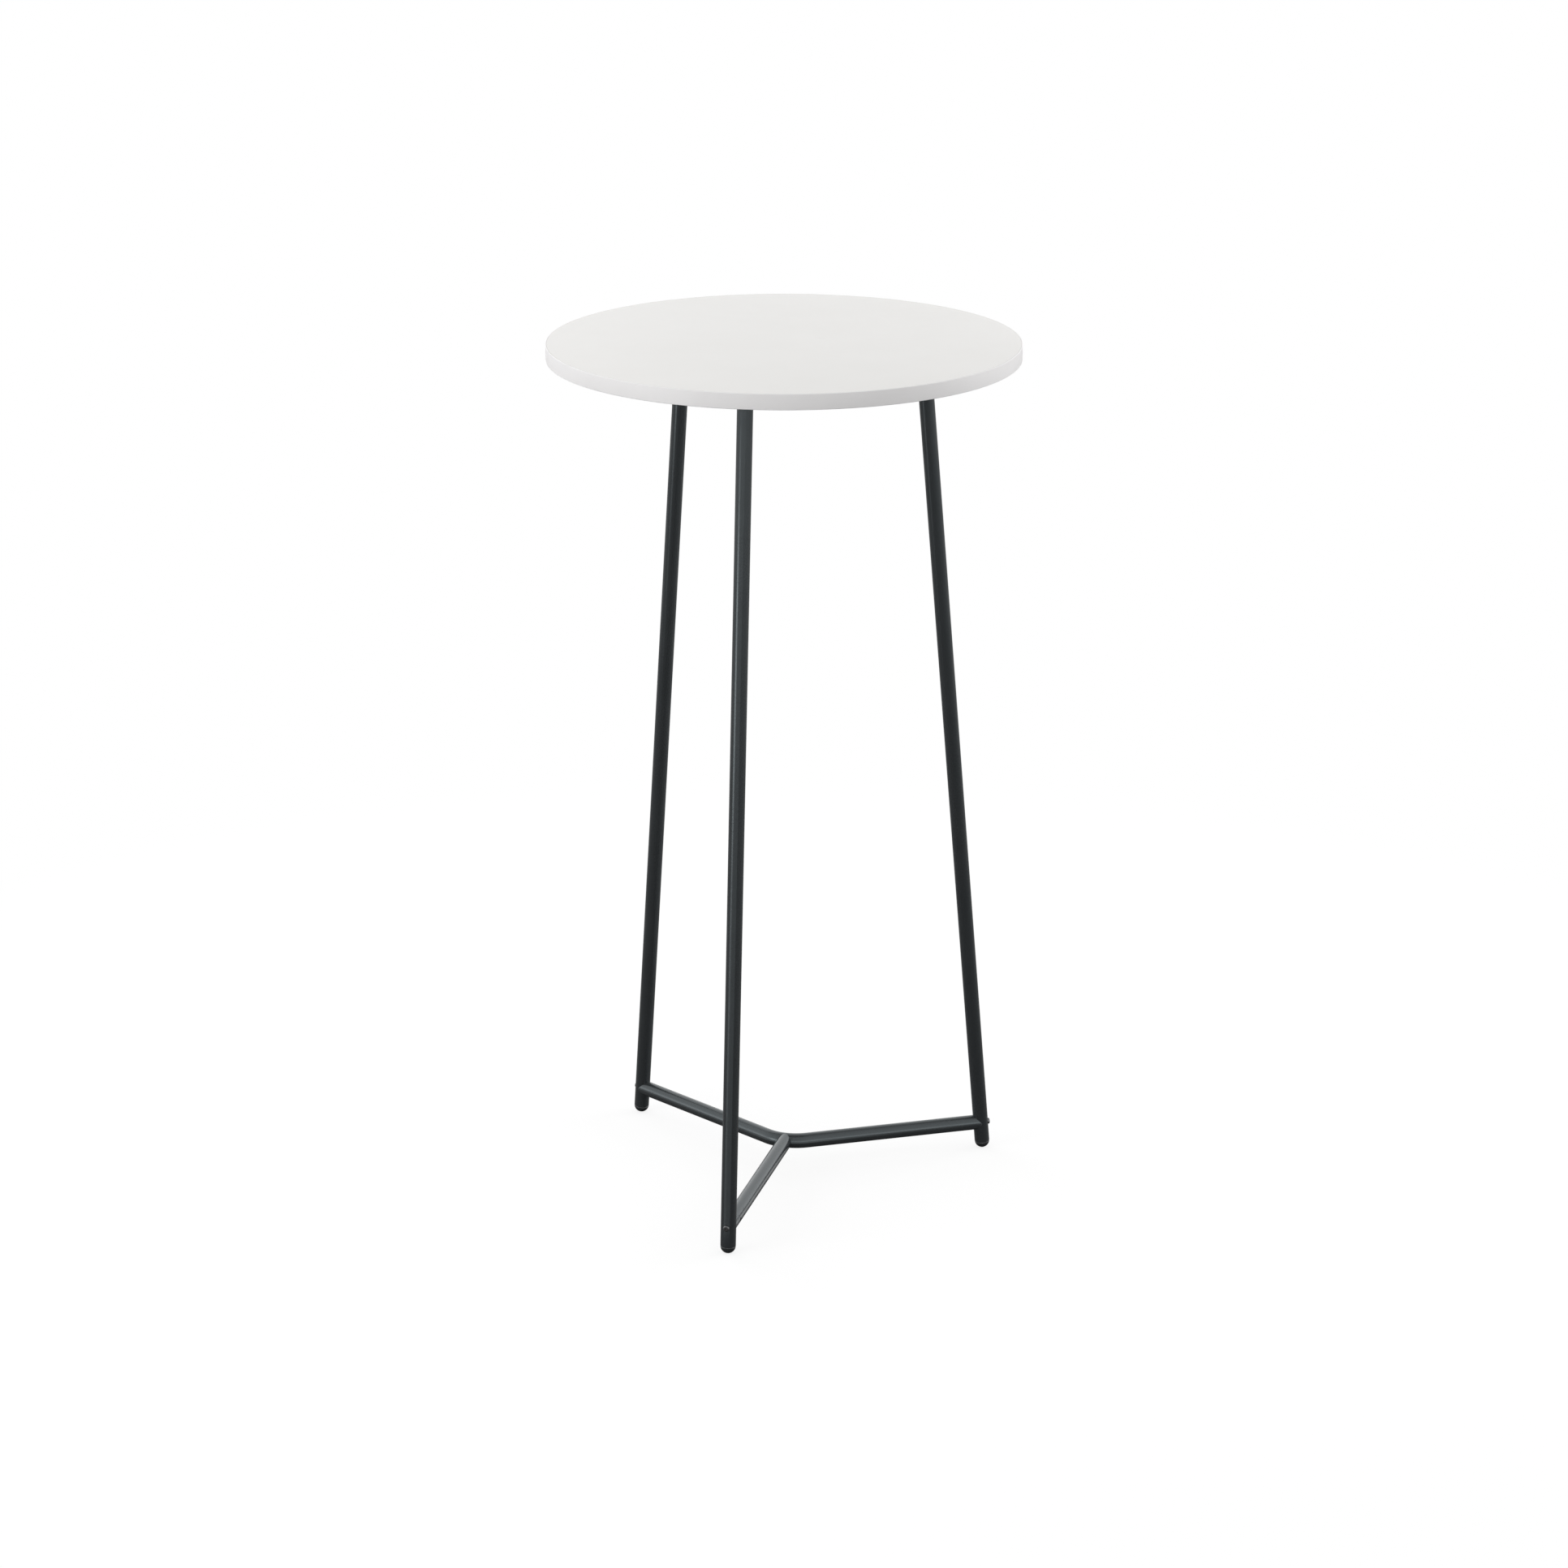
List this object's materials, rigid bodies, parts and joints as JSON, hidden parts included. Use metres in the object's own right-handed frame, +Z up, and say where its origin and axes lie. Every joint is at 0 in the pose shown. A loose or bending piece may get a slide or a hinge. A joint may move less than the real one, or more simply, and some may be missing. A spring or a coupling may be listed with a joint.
{
  "type": "high table",
  "caption": "Round high table: a white laminated top on leaning tube legs, tied near the floor by a Y-shaped tube stretcher, standing on dome feet.",
  "frame": {"origin": "on the floor, under the middle of the round top", "axes": "+Z up; the front leg and the straight stretcher tube point towards -Y, the other two legs stand at +X and -X behind it"},
  "size_m": [0.5999, 0.6, 1.13],
  "materials": {
    "board": "raw particle board",
    "white_laminate": "fine-textured white high-pressure laminate",
    "backing_laminate": "plain white balancing laminate",
    "white_edging": "matt white edge band",
    "coated_steel": "anthracite powder coat, fine texture, semi-gloss",
    "black_screws": "black zinc, satin",
    "zinc_steel": "bright zinc plate",
    "foot_plastic": "moulded black plastic"
  },
  "bodies": {
    "root": {"tabletop_core": "board", "tabletop_laminate": "white_laminate", "tabletop_backing_laminate": "backing_laminate", "tabletop_edge_band": "white_edging", "plate_screws": "black_screws", "tabletop_inserts": "zinc_steel", "bent_stretcher_tube": "coated_steel", "straight_stretcher_tube": "coated_steel", "stretcher_bolts": "black_screws", "front_leg_tube": "coated_steel", "front_leg_plate": "coated_steel", "front_leg_weld": "coated_steel", "front_foot": "foot_plastic", "front_stretcher_plug": "zinc_steel", "right_leg_tube": "coated_steel", "right_leg_plate": "coated_steel", "right_leg_weld": "coated_steel", "right_foot": "foot_plastic", "right_stretcher_plug": "zinc_steel", "left_leg_tube": "coated_steel", "left_leg_plate": "coated_steel", "left_leg_weld": "coated_steel", "left_foot": "foot_plastic", "left_stretcher_plug": "zinc_steel"}
  },
  "joints": []
}
